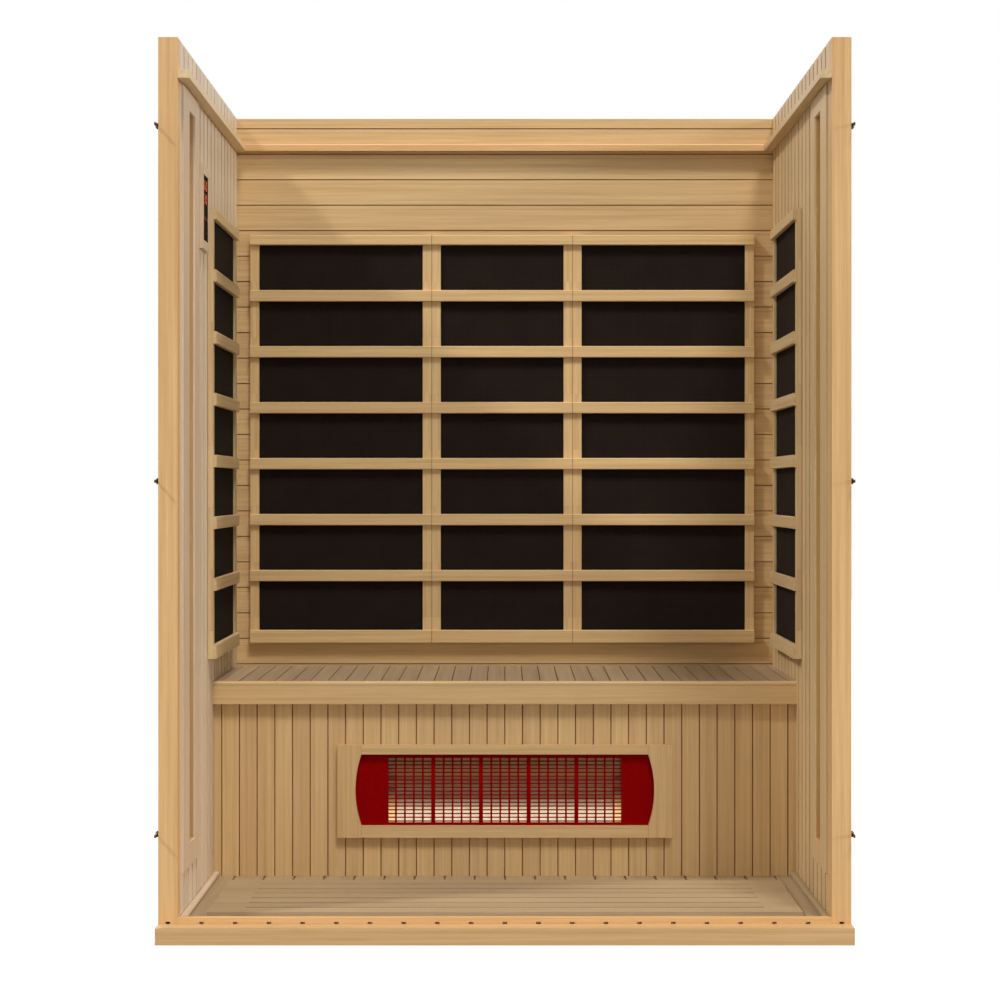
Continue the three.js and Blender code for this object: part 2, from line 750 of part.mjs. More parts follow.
const cabin = new THREE.Group();
cabin.add(makeBase());
cabin.add(makeSideWall('left', -1));
cabin.add(makeSideWall('right', 1));
cabin.add(makeBackWall());
cabin.add(makeHeaters());
cabin.add(makeBench());
cabin.add(makeQuartzHeater());
cabin.add(makeControl());
cabin.add(makeLatches());

export default cabin;
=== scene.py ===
# %% [markdown]
# # An infrared sauna cabin, open at the front
# The cabin is a room of pale hemlock boards with a bench, six dark heaters and a small control.
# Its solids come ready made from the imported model, each at its true place, in metres.
# This script dresses them: it gives every solid a finish and models the finer pieces that are added.

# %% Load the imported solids
import math
import bpy
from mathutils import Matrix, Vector


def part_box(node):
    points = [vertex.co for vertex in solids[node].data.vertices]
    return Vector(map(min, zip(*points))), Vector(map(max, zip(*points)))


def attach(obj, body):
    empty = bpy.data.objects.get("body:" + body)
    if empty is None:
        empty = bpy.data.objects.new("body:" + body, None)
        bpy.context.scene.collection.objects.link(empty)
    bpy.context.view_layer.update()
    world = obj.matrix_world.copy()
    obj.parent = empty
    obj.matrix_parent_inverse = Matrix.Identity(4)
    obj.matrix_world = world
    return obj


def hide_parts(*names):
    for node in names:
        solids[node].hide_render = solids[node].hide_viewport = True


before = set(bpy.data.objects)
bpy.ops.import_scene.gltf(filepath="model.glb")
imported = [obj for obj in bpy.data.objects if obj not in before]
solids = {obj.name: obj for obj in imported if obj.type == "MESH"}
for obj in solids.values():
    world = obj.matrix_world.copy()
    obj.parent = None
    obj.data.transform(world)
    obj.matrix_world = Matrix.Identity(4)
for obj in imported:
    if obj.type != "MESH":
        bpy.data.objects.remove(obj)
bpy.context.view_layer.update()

# %% [markdown]
# ## The camera
# The photograph is taken straight from the front, at the height of a standing person's chest.
# All lines that run to the back meet at one point a little beside the picture's middle, so the camera
# isn't turned at all: it looks along Y, and a small lens shift puts that point where it belongs.

# %% Camera
bpy.ops.object.select_all(action="DESELECT")
bpy.ops.object.camera_add(location=(0, -5.568, 0.977), rotation=(math.radians(90), 0, 0))
camera = bpy.context.object
camera.name = "front_camera"
camera.data.lens = 83.5
camera.data.sensor_width = 36
camera.data.shift_x = -0.0048
camera.data.shift_y = -0.0105
bpy.context.scene.camera = camera
print("camera", camera.data.lens, "mm, at", tuple(round(v, 3) for v in camera.location))

# %% [markdown]
# ## Helpers for finishes
# A colour is written as it looks on a screen, so one function turns it to the linear values that the
# renderer works with. Others start an empty material, add a node with its settings and links, close the
# material with its output and put it on solids. So a material reads from top to bottom like a recipe.

# %% Helpers for finishes
def linear(code):
    values = [int(code[i:i + 2], 16) / 255 for i in (1, 3, 5)]
    return [v / 12.92 if v <= 0.04045 else ((v + 0.055) / 1.055) ** 2.4 for v in values] + [1.0]


def add(tree, kind, settings=None, links=None):
    node = tree.nodes.new("ShaderNode" + kind)
    for key, value in (settings or {}).items():
        if isinstance(key, int) or key in node.inputs:
            node.inputs[key].default_value = value
        else:
            setattr(node, key, value)
    for key, source in (links or {}).items():
        tree.links.new(source, node.inputs[key])
    return node


def blank(name):
    material = bpy.data.materials.new(name)
    material.use_nodes = True
    tree = material.node_tree
    tree.nodes.clear()
    return material, tree


def close(tree, shader):
    add(tree, "OutputMaterial", links={"Surface": shader.outputs[0]})


def dress(material, *names):
    for name in names:
        for slot in solids[name].material_slots:
            slot.material = material
    print(material.name, "on", len(names), "solids")


# %% [markdown]
# ## Hemlock boards
# Hemlock is a pale, even softwood with fine straight grain. Planed boards differ a little from one to
# the next, so each board gets its own tone and its own stretch of grain. A board's number is its place
# across the wall divided by the board width, rounded down, and that number feeds a random value.
# The grain itself is noise that is stretched along the board: streaks 9 mm wide for the year rings and
# fibres about 1.5 mm wide over them. Real fibres are finer, but then they wouldn't show in the picture.

# %% Hemlock
STREAK = 1 / 0.009
FIBRE = 1 / 0.0015
ALONG_STREAK = 1 / 0.55
ALONG_FIBRE = 1 / 0.09
LINE = 0.0009
JOINT_BROWN = "#8f572a"


def stretched(axis, along, across):
    return [along if i == axis else across for i in range(3)]


def hemlock(name, pale, mid, dark, grain, across=0, pitch=10.0, phase=-5.0, spread=0.05, turn=None,
            gap=0.0, lip=0.0, seams=(), joint=0.75, painted_shade_past=None):
    """grain and across are 0, 1, 2 for X, Y, Z.

    turn = (axis, place, side, grain): on that side of place, the grain runs another way.
    gap is the joint at the start of each board, lip the shallow step before the next joint.
    seams are an axis and a place each where two pieces meet; joint says how strongly all these show.
    The last argument, an axis and a place, paints shade: further out than place, inside a window's reveal,
    the wood is painted warmer and darker than its faces.
    """
    material, tree = blank(name)
    coord = add(tree, "TexCoord").outputs["Object"]
    split = add(tree, "SeparateXYZ", links={0: coord})
    place = add(tree, "Math", {"operation": "SUBTRACT", 1: phase}, {0: split.outputs[across]})
    board = add(tree, "Math", {"operation": "DIVIDE", 1: pitch}, {0: place.outputs[0]})
    number = add(tree, "Math", {"operation": "FLOOR"}, {0: board.outputs[0]})
    chance = add(tree, "TexWhiteNoise", {"noise_dimensions": "1D"}, {"W": number.outputs[0]})
    own = add(tree, "VectorMath", {"operation": "MULTIPLY", 1: (7, 7, 7)}, {0: chance.outputs["Color"]})
    moved = add(tree, "VectorMath", {"operation": "ADD"}, {0: coord, 1: own.outputs[0]})

    def grain_space(along, over):
        first = add(tree, "Mapping", {"Scale": stretched(grain, along, over)}, {"Vector": moved.outputs[0]})
        if turn is None:
            return first.outputs[0]
        axis, edge, side, other = turn
        second = add(tree, "Mapping", {"Scale": stretched(other, along, over)}, {"Vector": moved.outputs[0]})
        far = add(tree, "Math", {"operation": "ABSOLUTE"}, {0: split.outputs[axis]})
        test = "GREATER_THAN" if side > 0 else "LESS_THAN"
        past = add(tree, "Math", {"operation": test, 1: edge}, {0: far.outputs[0]})
        both = add(tree, "MixRGB", links={"Fac": past.outputs[0], 1: first.outputs[0], 2: second.outputs[0]})
        return both.outputs[0]

    rings = add(tree, "TexNoise", {"Scale": 1.0, "Detail": 3.0, "Roughness": 0.55, "Distortion": 0.3},
                {"Vector": grain_space(ALONG_STREAK, STREAK)})
    fibres = add(tree, "TexNoise", {"Scale": 1.0, "Detail": 2.0, "Roughness": 0.6},
                 {"Vector": grain_space(ALONG_FIBRE, FIBRE)})
    tint = add(tree, "ValToRGB", links={0: rings.outputs[0]})
    tint.color_ramp.elements[0].position = 0.28
    tint.color_ramp.elements[0].color = linear(dark)
    tint.color_ramp.elements[1].position = 0.72
    tint.color_ramp.elements[1].color = linear(pale)
    tint.color_ramp.elements.new(0.48).color = linear(mid)
    thread = add(tree, "MapRange", {"From Min": 0.3, "From Max": 0.7, "To Min": 0.93, "To Max": 1.05},
                 {"Value": fibres.outputs[0]})
    tone = add(tree, "MapRange", {"To Min": 1 - spread, "To Max": 1 + spread}, {"Value": chance.outputs[0]})
    level = add(tree, "Math", {"operation": "MULTIPLY"}, {0: thread.outputs[0], 1: tone.outputs[0]})
    warm = add(tree, "MapRange", {"To Min": 0.497, "To Max": 0.502}, {"Value": chance.outputs[0]})
    colour = add(tree, "HueSaturation", links={"Hue": warm.outputs[0], "Value": level.outputs[0],
                                               "Color": tint.outputs[0]})
    # Painted shade: inside the window's reveal, past the wall's inner face, the colour is multiplied warmer
    # and darker.
    if painted_shade_past:
        far = add(tree, "Math", {"operation": "ABSOLUTE"}, {0: split.outputs[painted_shade_past[0]]})
        deep = add(tree, "Math", {"operation": "GREATER_THAN", 1: painted_shade_past[1]}, {0: far.outputs[0]})
        colour = add(tree, "MixRGB", {"blend_type": "MULTIPLY", 2: linear("#dec496")},
                     {"Fac": deep.outputs[0], 1: colour.outputs[0]})
    within = add(tree, "Math", {"operation": "FRACT"}, {0: board.outputs[0]})
    lines = []
    if gap:
        lines.append((within.outputs[0], gap / 2 / pitch, gap / 2 / pitch, joint))
    if lip:
        lines.append((within.outputs[0], 1 - lip / pitch, LINE / pitch, joint * 0.4))
    lines += [(split.outputs[axis], seam, LINE, joint) for axis, seam in seams]
    for source, middle, half, share in lines:
        near = add(tree, "Math", {"operation": "COMPARE", 1: middle, 2: half}, {0: source})
        part = add(tree, "Math", {"operation": "MULTIPLY", 1: share}, {0: near.outputs[0]})
        colour = add(tree, "MixRGB", {2: linear(JOINT_BROWN)}, {"Fac": part.outputs[0], 1: colour.outputs[0]})
    shine = add(tree, "MapRange", {"To Min": 0.4, "To Max": 0.55}, {"Value": rings.outputs[0]})
    raised = add(tree, "Bump", {"Strength": 0.25, "Distance": 0.0004}, {"Height": fibres.outputs[0]})
    wood = add(tree, "BsdfPrincipled", {"IOR": 1.45, "Specular IOR Level": 0.5},
               {"Base Color": colour.outputs[0], "Roughness": shine.outputs[0], "Normal": raised.outputs[0]})
    close(tree, wood)
    return material


# %% [markdown]
# ## Which boards run which way
# Wall boards stand upright, the back wall's lie level and the floor's run to the back. Each finish gets the
# direction of its grain, the width of its boards and the place of one joint. Timber for one cabin comes from
# more than one log, and the frame is golden. The left wall's boards, its window trim, ledge, cleat and
# skirting and the control's bezel are the palest: that paleness is a painted sheen, light falling across the
# left wall put into their colour. The floor is a little darker and greyer, which is painted shade on its
# level top, and the bench is darker and greyer both by its own tone and by painted shade.

# %% Timber finishes
FRAME_WOOD = ("#dab17c", "#d2a66f", "#c89b64")
BASE_WOOD = ("#c9a473", "#bf9968", "#b48d5d")
BACK_WOOD = ("#dbba87", "#d2af7b", "#c7a36f")
GUARD_WOOD = ("#e2c08b", "#d9b57f", "#cea973")
INNER_WOOD = ("#d5ba8d", "#ccae80", "#c1a171")
# Paler copy for the left wall's boards: painted sheen, light falling across the left wall put into the
# colour.
SHEEN_PAINTED_INNER_WOOD = ("#dfccb2", "#d6c1a5", "#cbb496")
# Paler copy for the left window trim, the bezel and the left skirting: painted sheen.
SHEEN_PAINTED_TRIM_WOOD = ("#d6bea2", "#cdb396", "#c2a687")
# Paler copy for the left ledge and cleat: painted sheen, set against the right side's wood.
SHEEN_PAINTED_LEDGE_WOOD = ("#e2c79f", "#d9bc92", "#ceaf83")
# Darker and greyer: partly the bench's own tone, partly painted shade on its level top.
BENCH_TONE_AND_SHADE_WOOD = ("#b0997b", "#a68e70", "#9a8264")
# Darker and greyer: painted shade on the floor's level top.
SHADE_PAINTED_FLOOR_WOOD = ("#ae9877", "#a58d6c", "#998262")
WALL_PITCH = 0.0673
WALL_FIRST = -0.5117
WALL_GAP = 0.0026
WALL_LIP = 0.010
BENCH_PITCH = 0.043
BENCH_GAP = 0.003
FLOOR_PITCH = 0.0729
FLOOR_GAP = 0.004
DUCK_PITCH = 0.061
DUCK_FIRST = -0.475
BACK_FIRST = 0.1116
INNER_FACE = 0.708

post_wood = hemlock("planed hemlock posts", *FRAME_WOOD, grain=2, spread=0.02)
rail_wood = hemlock("planed hemlock threshold", *FRAME_WOOD, grain=0, spread=0.02)
sill_wood = hemlock("planed hemlock base rim", *BASE_WOOD, grain=0, spread=0.02)
outer_wood = hemlock("hemlock outer boards", *FRAME_WOOD, grain=2, across=1, pitch=WALL_PITCH,
                     phase=WALL_FIRST, gap=WALL_GAP, lip=WALL_LIP)
inner_wood = hemlock("hemlock inner boards", *INNER_WOOD, grain=2, across=1, pitch=WALL_PITCH,
                     phase=WALL_FIRST, gap=WALL_GAP, lip=WALL_LIP, joint=0.2)
# The left wall's boards take the paler copy, whose paleness is painted sheen.
sheen_painted_inner_wood = hemlock("painted-sheen hemlock inner boards", *SHEEN_PAINTED_INNER_WOOD, grain=2, across=1, pitch=WALL_PITCH,
                    phase=WALL_FIRST, gap=WALL_GAP, lip=WALL_LIP, joint=0.2)
back_wood = hemlock("hemlock back wall boards", *BACK_WOOD, grain=0, across=2, pitch=WALL_PITCH,
                    phase=BACK_FIRST, gap=WALL_GAP, lip=WALL_LIP)
# Floor boards and duckboard take the floor palette with its painted shade.
floor_wood = hemlock("hemlock floor boards", *SHADE_PAINTED_FLOOR_WOOD, grain=1, across=0, pitch=FLOOR_PITCH,
                     phase=-FLOOR_GAP / 2, gap=FLOOR_GAP)
duck_wood = hemlock("hemlock duckboard slats", *SHADE_PAINTED_FLOOR_WOOD, grain=0, across=1, pitch=DUCK_PITCH,
                    phase=DUCK_FIRST)
# Both trims get painted shade inside the window reveal.
# The left trim and the control's bezel take the paler copy, a painted sheen.
sheen_painted_trim_wood = hemlock("painted-sheen hemlock left window trim", *SHEEN_PAINTED_TRIM_WOOD, grain=2, spread=0.03,
                         painted_shade_past=(0, INNER_FACE))
right_trim_wood = hemlock("hemlock right window trim", *INNER_WOOD, grain=2, spread=0.03,
                          painted_shade_past=(0, INNER_FACE))
right_ledge_wood = hemlock("hemlock side ledge", *INNER_WOOD, grain=1, spread=0.03)
# The left ledge and cleat take the paler copy, a painted sheen.
sheen_painted_ledge_wood = hemlock("painted-sheen hemlock side ledge", *SHEEN_PAINTED_LEDGE_WOOD, grain=1, spread=0.03)
level_wood = hemlock("hemlock back ledge", *FRAME_WOOD, grain=0, spread=0.03)
fascia_wood = hemlock("hemlock bench fascia", *BACK_WOOD, grain=0, spread=0.03,
                      seams=((2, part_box("bench_fascia")[1].z - 0.009),), joint=0.4)
bench_wood = hemlock("hemlock bench boards", *BENCH_TONE_AND_SHADE_WOOD, grain=1, across=0, pitch=BENCH_PITCH,
                     phase=-BENCH_GAP / 2, gap=BENCH_GAP)
kick_wood = hemlock("hemlock kick panel boards", *BACK_WOOD, grain=2, across=0, pitch=BENCH_PITCH,
                    phase=-BENCH_GAP / 2, gap=BENCH_GAP)

dress(post_wood, "left_wall_core", "right_wall_core", "back_wall_core")
dress(sill_wood, "base_frame")
dress(rail_wood, "threshold_rail")
dress(outer_wood, "left_wall_outer_boards", "right_wall_outer_boards")
dress(inner_wood, "right_wall_inner_boards")
dress(sheen_painted_inner_wood, "left_wall_inner_boards")
dress(back_wood, "back_wall_inner_boards", "back_wall_outer_boards")
dress(floor_wood, "floor_boards")
dress(duck_wood, "floor_duckboard")
dress(sheen_painted_trim_wood, "left_window_trim", "control_bezel")
dress(right_trim_wood, "right_window_trim")
dress(right_ledge_wood, "right_ceiling_ledge", "bench_right_cleat")
dress(sheen_painted_ledge_wood, "left_ceiling_ledge", "bench_left_cleat")
dress(level_wood, "back_ceiling_ledge")
dress(fascia_wood, "bench_fascia")
dress(bench_wood, "bench_top")
dress(kick_wood, "bench_kick_panel")

# %% [markdown]
# ## Slatted guards and the heater's wooden trim
# On these pieces upright stiles and level slats belong to one solid, and their grain has to turn at the
# joint. The slats lie proud of the stiles, so the depth of a point tells which of the two it is on. On the
# trim round the red heater the joint is at 348 mm from the middle instead.

# %% Guards and trim
SLAT_PITCH = 0.1474
SLAT_PHASE = 0.05
back_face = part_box("back_middle_heater_guard")[1].y
side_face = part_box("right_heater_guard")[1].x
STILE_PROUD = 0.0126
JUST_PAST = 0.0004
TRIM_JOINT = 0.348
middle_low, middle_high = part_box("back_middle_heater_guard")
back_guard_wood = hemlock("hemlock back guards", *GUARD_WOOD, grain=2, across=2, pitch=SLAT_PITCH,
                          phase=SLAT_PHASE, turn=(1, back_face - STILE_PROUD - JUST_PAST, -1, 0),
                          seams=((0, middle_low.x), (0, middle_high.x)))
slat_edge = side_face - STILE_PROUD - JUST_PAST
side_guard_wood = hemlock("hemlock side guards", *INNER_WOOD, grain=2, across=2, pitch=SLAT_PITCH,
                          phase=SLAT_PHASE, turn=(0, slat_edge, -1, 1))
quartz_trim_wood = hemlock("hemlock heater trim", *BACK_WOOD, grain=0, spread=0.02,
                           turn=(0, TRIM_JOINT, 1, 2), seams=((0, -TRIM_JOINT), (0, TRIM_JOINT)), joint=0.35)
dress(back_guard_wood, "back_left_heater_guard", "back_middle_heater_guard", "back_right_heater_guard")
dress(side_guard_wood, "left_heater_guard", "right_heater_guard")
dress(quartz_trim_wood, "quartz_heater_trim")

# %% [markdown]
# ## Carbon heater cloth
# The flat heaters are carbon sheets under a black-brown woven cover. Two crossing bands of threads make
# the weave. Its threads lie about 1 mm apart on the real cover; here they are 5 mm apart, so that the
# picture can show them at all. The threads catch a little light and the gaps between are nearly black.

# %% Carbon heater cloth
THREAD = 0.005


def heater_cloth(name, across):
    material, tree = blank(name)
    coord = add(tree, "TexCoord").outputs["Object"]
    # A band texture repeats every 2 pi / 20 of its scale, which gives the scale for a thread spacing.
    bands = 2 * math.pi / 20 / THREAD
    warp = add(tree, "TexWave", {"bands_direction": across, "Scale": bands, "Distortion": 0.15},
               {"Vector": coord})
    weft = add(tree, "TexWave", {"bands_direction": "Z", "Scale": bands, "Distortion": 0.15},
               {"Vector": coord})
    weave = add(tree, "Math", {"operation": "MAXIMUM"}, {0: warp.outputs["Fac"], 1: weft.outputs["Fac"]})
    cloud = add(tree, "TexNoise", {"Scale": 1 / 0.08, "Detail": 2.0}, {"Vector": coord})
    lit = add(tree, "MapRange", {"To Min": 0.75, "To Max": 1.2}, {"Value": cloud.outputs[0]})
    tint = add(tree, "ValToRGB", links={0: weave.outputs[0]})
    tint.color_ramp.elements[0].color = linear("#0f0b0a")
    tint.color_ramp.elements[1].color = linear("#2a201a")
    colour = add(tree, "HueSaturation", links={"Value": lit.outputs[0], "Color": tint.outputs[0]})
    raised = add(tree, "Bump", {"Strength": 0.4, "Distance": 0.0006}, {"Height": weave.outputs[0]})
    cloth = add(tree, "BsdfPrincipled", {"Roughness": 0.9, "Specular IOR Level": 0.08},
                {"Base Color": colour.outputs[0], "Normal": raised.outputs[0]})
    close(tree, cloth)
    return material


dress(heater_cloth("woven carbon cover, back", "X"), "back_left_heater_panel", "back_middle_heater_panel",
      "back_right_heater_panel")
dress(heater_cloth("woven carbon cover, sides", "Y"), "left_heater_panel", "right_heater_panel")

# %% [markdown]
# ## Enamel, quartz, plastic, bronzed steel and glass
# These finishes are plainer than wood, but none is one flat colour. Enamel has a slight orange-peel ripple,
# quartz is a little cloudy, plastic has a fine moulded grit, bronzed steel is rubbed brighter in places and
# glass has a few faint smears. Each one is a noise of the right size that moves the roughness, the colour
# or the surface a little.

# %% Plainer finishes
def plain(name, low, high, grit, rough, bump=0.0, sockets=None):
    """A finish between two colours and two roughnesses; grit is the size of its clouds in metres."""
    material, tree = blank(name)
    coord = add(tree, "TexCoord").outputs["Object"]
    cloud = add(tree, "TexNoise", {"Scale": 1 / grit, "Detail": 3.0}, {"Vector": coord})
    tint = add(tree, "ValToRGB", links={0: cloud.outputs[0]})
    tint.color_ramp.elements[0].position = 0.3
    tint.color_ramp.elements[0].color = linear(low)
    tint.color_ramp.elements[1].position = 0.7
    tint.color_ramp.elements[1].color = linear(high)
    polish = add(tree, "MapRange", {"To Min": rough[0], "To Max": rough[1]}, {"Value": cloud.outputs[0]})
    links = {"Base Color": tint.outputs[0], "Roughness": polish.outputs[0]}
    if bump:
        ripple = add(tree, "Bump", {"Strength": 0.3, "Distance": bump}, {"Height": cloud.outputs[0]})
        links["Normal"] = ripple.outputs[0]
    shader = add(tree, "BsdfPrincipled", sockets, links)
    close(tree, shader)
    return material


# Baked enamel on steel: deep even red with a soft sheen and no white in it
red_enamel = plain("red baked enamel", "#860000", "#930206", 0.004, (0.35, 0.45), bump=0.0001,
                   sockets={"Specular IOR Level": 0.02})
# Frosted quartz tube: milky glass with a faint pink glow, too dense to look through
quartz = plain("frosted quartz tube", "#a97d6a", "#c0947f", 0.01, (0.15, 0.25),
               sockets={"IOR": 1.46, "Emission Color": linear("#e8c0ae"), "Emission Strength": 0.03})
# Moulded black ABS: nearly black, with a fine eggshell grit
black_plastic = plain("moulded black ABS", "#0e0a09", "#181210", 0.0008, (0.6, 0.75), bump=0.00005,
                      sockets={"Specular IOR Level": 0.03})
# Bronzed steel: dark brown, rubbed brighter in places
bronze = plain("bronzed steel", "#2f2416", "#574428", 0.003, (0.3, 0.5), sockets={"Metallic": 1.0})
# Toughened window glass: clear, with a faint grey-green body
glass = plain("clear toughened glass", "#e3ebe8", "#eef4f1", 0.15, (0.01, 0.05),
              sockets={"IOR": 1.5, "Transmission Weight": 1.0})

dress(red_enamel, "quartz_heater_face_plate", "quartz_heater_grille")

# %% [markdown]
# ## The heater's reflector
# The trough behind the tubes has a white ceramic coat below and smoked steel above. A band of height, 32 mm
# wide, leads from one finish to the other. The pale lower part and dark upper part are also a painted
# reflection, of the bright room in front and of the floor. The warm light on the coat is a little emission, a
# painted glow, because the tubes are too deep in the trough to be lit from outside.

# %% Reflector
reflector, tree = blank("ceramic-coated reflector, painted reflection and glow")
coord = add(tree, "TexCoord").outputs["Object"]
height = add(tree, "SeparateXYZ", links={0: coord})
tubes = (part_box("quartz_heater_lower_tube")[0].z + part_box("quartz_heater_lower_tube")[1].z) / 2
upper = add(tree, "MapRange", {"From Min": tubes - 0.044, "From Max": tubes - 0.012},
            {"Value": height.outputs[2]})
cloud = add(tree, "TexNoise", {"Scale": 1 / 0.02, "Detail": 3.0}, {"Vector": coord})
# Painted reflection: pale below and darker above, over the coat's and the steel's own colours.
tint = add(tree, "MixRGB", {1: linear("#ffeecb"), 2: linear("#a38b68")}, {"Fac": upper.outputs[0]})
soft = add(tree, "MapRange", {"To Min": 0.9, "To Max": 1.05}, {"Value": cloud.outputs[0]})
colour = add(tree, "HueSaturation", links={"Value": soft.outputs[0], "Color": tint.outputs[0]})
polish = add(tree, "MapRange", {"To Min": 0.55, "To Max": 0.3}, {"Value": upper.outputs[0]})
metal = add(tree, "MapRange", {"To Min": 0.0, "To Max": 0.4}, {"Value": upper.outputs[0]})
# Painted glow: a little warm emission on the lower coat, which is no lamp.
painted_glow = add(tree, "MapRange", {"To Min": 0.58, "To Max": 0.09}, {"Value": upper.outputs[0]})
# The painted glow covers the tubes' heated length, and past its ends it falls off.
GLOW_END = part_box("quartz_heater_reflector")[1].x
far = add(tree, "Math", {"operation": "ABSOLUTE"}, {0: height.outputs[0]})
fading = add(tree, "MapRange", {"From Min": GLOW_END - 0.004, "From Max": GLOW_END + 0.002,
                                "To Min": 1.0, "To Max": 0.3}, {"Value": far.outputs[0]})
painted_glow = add(tree, "Math", {"operation": "MULTIPLY"}, {0: painted_glow.outputs[0], 1: fading.outputs[0]})
sheet = add(tree, "BsdfPrincipled", links={"Base Color": colour.outputs[0], "Roughness": polish.outputs[0],
                                           "Metallic": metal.outputs[0], "Emission Color": colour.outputs[0],
                                           "Emission Strength": painted_glow.outputs[0]})
close(tree, sheet)
print(reflector.name, "turns at", round(tubes, 4))

# %% Dress the small parts
dress(reflector, "quartz_heater_reflector", "quartz_heater_housing")
dress(quartz, "quartz_heater_upper_tube", "quartz_heater_lower_tube")
dress(black_plastic, "control_face", "power_button", "light_button", "minus_button", "plus_button")
sides_and_levels = [(side, level) for side in ("left", "right") for level in ("top", "middle", "bottom")]
dress(bronze, *[f"{s}_{v}_latch_{part}" for s, v in sides_and_levels for part in ("base", "hook")])
dress(glass, "left_window_glass", "right_window_glass")

# %% [markdown]
# ## Modelling by hand
# A new piece starts from a primitive of the right size, set in its place. Its transform is applied straight
# away, so the object stays at the origin and its place is in its mesh, as with the ready solids.

# %% Modelling helpers
def alone(piece):
    bpy.ops.object.select_all(action="DESELECT")
    piece.select_set(True)
    bpy.context.view_layer.objects.active = piece


def settle(name):
    piece = bpy.context.object
    piece.name = name
    bpy.ops.object.transform_apply(location=True, rotation=True, scale=True)
    return piece


def choose(piece, test):
    """Selects the faces whose middle and normal pass the test, and stays in edit mode."""
    alone(piece)
    bpy.ops.object.mode_set(mode="EDIT")
    bpy.ops.mesh.select_mode(type="FACE")
    bpy.ops.mesh.select_all(action="DESELECT")
    bpy.ops.object.mode_set(mode="OBJECT")
    for face in piece.data.polygons:
        face.select = bool(test(face.center, face.normal))
    bpy.ops.object.mode_set(mode="EDIT")


def apply_modifier(piece, kind, **settings):
    alone(piece)
    modifier = piece.modifiers.new(kind.lower(), kind)
    for key, value in settings.items():
        setattr(modifier, key, value)
    bpy.ops.object.modifier_apply(modifier=modifier.name)


def repeat(piece, count, step):
    apply_modifier(piece, "ARRAY", count=count, use_relative_offset=False, use_constant_offset=True,
                   constant_offset_displace=step)


def merge(pieces, name):
    bpy.ops.object.select_all(action="DESELECT")
    for piece in pieces:
        piece.select_set(True)
    bpy.context.view_layer.objects.active = pieces[0]
    if len(pieces) > 1:
        bpy.ops.object.join()
    pieces[0].name = name
    return pieces[0]


def finish_piece(piece, material, body):
    piece.data.materials.clear()
    piece.data.materials.append(material)
    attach(piece, body)
    print(piece.name, len(piece.data.polygons), "faces")


def bar(name, low, high, rounding, segments=2):
    """A planed bar between two corners with eased edges."""
    bpy.ops.object.select_all(action="DESELECT")
    middle = (Vector(low) + Vector(high)) / 2
    bpy.ops.mesh.primitive_cube_add(size=1, location=middle, scale=Vector(high) - Vector(low))
    piece = settle(name)
    apply_modifier(piece, "BEVEL", width=rounding, segments=segments, limit_method="ANGLE")
    alone(piece)
    bpy.ops.object.shade_smooth_by_angle(angle=math.radians(30))
    return piece


# %% [markdown]
# ## Wire guard over the red heater
# The guard is a grid of welded wires on a flat rim: 20 uprights in five bays with a flat bar between the
# bays, and 18 level wires behind them. An upright is a short cylinder whose ends are extruded back to the
# plate, as bent wire would be. One wire is made and an array repeats it, first in a bay, then over the bays.

# %% Wire guard
def wire(name, length, radius, upright, place):
    bpy.ops.object.select_all(action="DESELECT")
    turn = (0, 0, 0) if upright else (0, math.radians(90), 0)
    bpy.ops.mesh.primitive_cylinder_add(vertices=8, radius=radius, depth=length, location=place,
                                        rotation=turn)
    piece = settle(name)
    axis = 2 if upright else 0
    for end in (-1, 1):
        choose(piece, lambda middle, normal: normal[axis] * end > 0.9)
        tail = [0, radius * 1.5, 0]
        tail[axis] = end * radius * 1.5
        bpy.ops.mesh.extrude_region_move(TRANSFORM_OT_translate={"value": tail})
        bpy.ops.object.mode_set(mode="OBJECT")
    alone(piece)
    bpy.ops.object.shade_smooth_by_angle(angle=math.radians(40))
    return piece


guard_low, guard_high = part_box("quartz_heater_grille")
middle_z = (guard_low.z + guard_high.z) / 2
GUARD_FRONT = guard_low.y
BAY = 0.116
COLUMN = 0.0218
ROW = 0.0091
first_upright = (-2 * BAY - 1.5 * COLUMN, GUARD_FRONT + 0.0015, middle_z)
uprights = wire("guard_uprights", 0.157, 0.0023, True, first_upright)
repeat(uprights, 4, (COLUMN, 0, 0))
repeat(uprights, 5, (BAY, 0, 0))
lowest_level = (0, GUARD_FRONT + 0.004, middle_z - 8.5 * ROW)
levels = wire("guard_levels", 0.561, 0.0016, False, lowest_level)
repeat(levels, 18, (0, 0, ROW))
dividers = bar("guard_dividers", (-1.5 * BAY - 0.005, GUARD_FRONT - 0.0008, middle_z - 0.08),
               (-1.5 * BAY + 0.005, GUARD_FRONT + 0.0012, middle_z + 0.08), 0.0006)
repeat(dividers, 4, (BAY, 0, 0))
rims = []
for sign in (-1, 1):
    edge = guard_high.x - 0.0015
    rims.append(bar("guard_side_rim", (sign * edge - 0.0015, GUARD_FRONT, guard_low.z),
                    (sign * edge + 0.0015, GUARD_FRONT + 0.0016, guard_high.z), 0.0004))
    ridge = middle_z + sign * (guard_high.z - middle_z - 0.002)
    rims.append(bar("guard_level_rim", (-guard_high.x, GUARD_FRONT - 0.0004, ridge - 0.002),
                    (guard_high.x, GUARD_FRONT + 0.0016, ridge + 0.002), 0.0006))
guard = merge([uprights, levels, dividers] + rims, "quartz_heater_wire_guard")
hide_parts("quartz_heater_grille")
finish_piece(guard, red_enamel, "cabin")

# %% [markdown]
# ## Skirting strips
# A slim strip closes the joint between each side wall and the floor. It is a planed bar with eased edges.
# Under the left wall it takes the trim's paler tone, a painted sheen, and on the other side the floor's tone
# with its painted shade.

# %% Skirting strips
WALL_FACE = 0.7077
STRIP_WIDTH = 0.014
